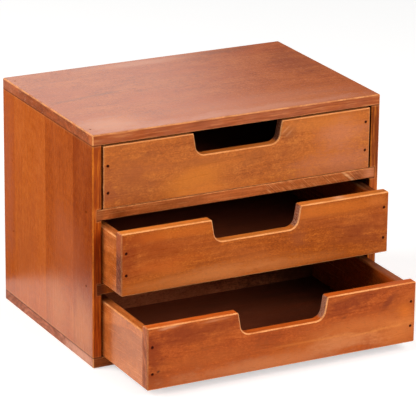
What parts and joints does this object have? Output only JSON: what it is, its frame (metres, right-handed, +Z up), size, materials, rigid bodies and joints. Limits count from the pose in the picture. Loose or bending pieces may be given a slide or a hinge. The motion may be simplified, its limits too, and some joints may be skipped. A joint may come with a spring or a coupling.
{
  "type": "desktop drawer cabinet",
  "caption": "Small stained-wood desk cabinet with stacked drawers for craft supplies and parts; each drawer slides out by a finger notch in its front.",
  "frame": {"origin": "centre of the cabinet's base, on the surface that it stands on", "axes": "+Z up; the drawers open towards -Y; +X to the right of someone who faces the drawers"},
  "size_m": [0.25, 0.245, 0.1885],
  "materials": {
    "top_board": "satin lacquer over orange-brown stain",
    "cabinet_board": "satin lacquer over orange-brown stain",
    "side_board": "satin lacquer over orange-brown stain, edge-glued staves",
    "drawer_front": "satin lacquer over orange-brown stain",
    "drawer_side": "satin lacquer over orange-brown stain",
    "plywood": "thin stained plywood",
    "nail": "darkened, punched just below the surface"
  },
  "bodies": {
    "cabinet": {"top_panel": "top_board", "bottom_panel": "cabinet_board", "left_side_panel": "side_board", "right_side_panel": "side_board", "upper_shelf": "cabinet_board", "lower_shelf": "cabinet_board", "back_panel": "plywood", "top_nails": "nail", "bottom_nails": "nail", "shelf_nails": "nail", "back_pins": "nail"},
    "drawer_upper": {"upper_drawer_front": "drawer_front", "upper_drawer_left_side": "drawer_side", "upper_drawer_right_side": "drawer_side", "upper_drawer_back": "drawer_side", "upper_drawer_floor": "plywood", "upper_drawer_front_nails": "nail", "upper_drawer_back_nails": "nail", "upper_drawer_floor_pins": "nail"},
    "drawer_middle": {"middle_drawer_front": "drawer_front", "middle_drawer_left_side": "drawer_side", "middle_drawer_right_side": "drawer_side", "middle_drawer_back": "drawer_side", "middle_drawer_floor": "plywood", "middle_drawer_front_nails": "nail", "middle_drawer_back_nails": "nail", "middle_drawer_floor_pins": "nail"},
    "drawer_lower": {"lower_drawer_front": "drawer_front", "lower_drawer_left_side": "drawer_side", "lower_drawer_right_side": "drawer_side", "lower_drawer_back": "drawer_side", "lower_drawer_floor": "plywood", "lower_drawer_front_nails": "nail", "lower_drawer_back_nails": "nail", "lower_drawer_floor_pins": "nail"}
  },
  "joints": [
    {"name": "upper_drawer_slide", "type": "slide", "parent": "cabinet", "child": "drawer_upper", "axis": [0, -1, 0], "range_m": [0, 0.145]},
    {"name": "middle_drawer_slide", "type": "slide", "parent": "cabinet", "child": "drawer_middle", "axis": [0, -1, 0], "range_m": [-0.032, 0.113]},
    {"name": "lower_drawer_slide", "type": "slide", "parent": "cabinet", "child": "drawer_lower", "axis": [0, -1, 0], "range_m": [-0.077, 0.068]}
  ]
}
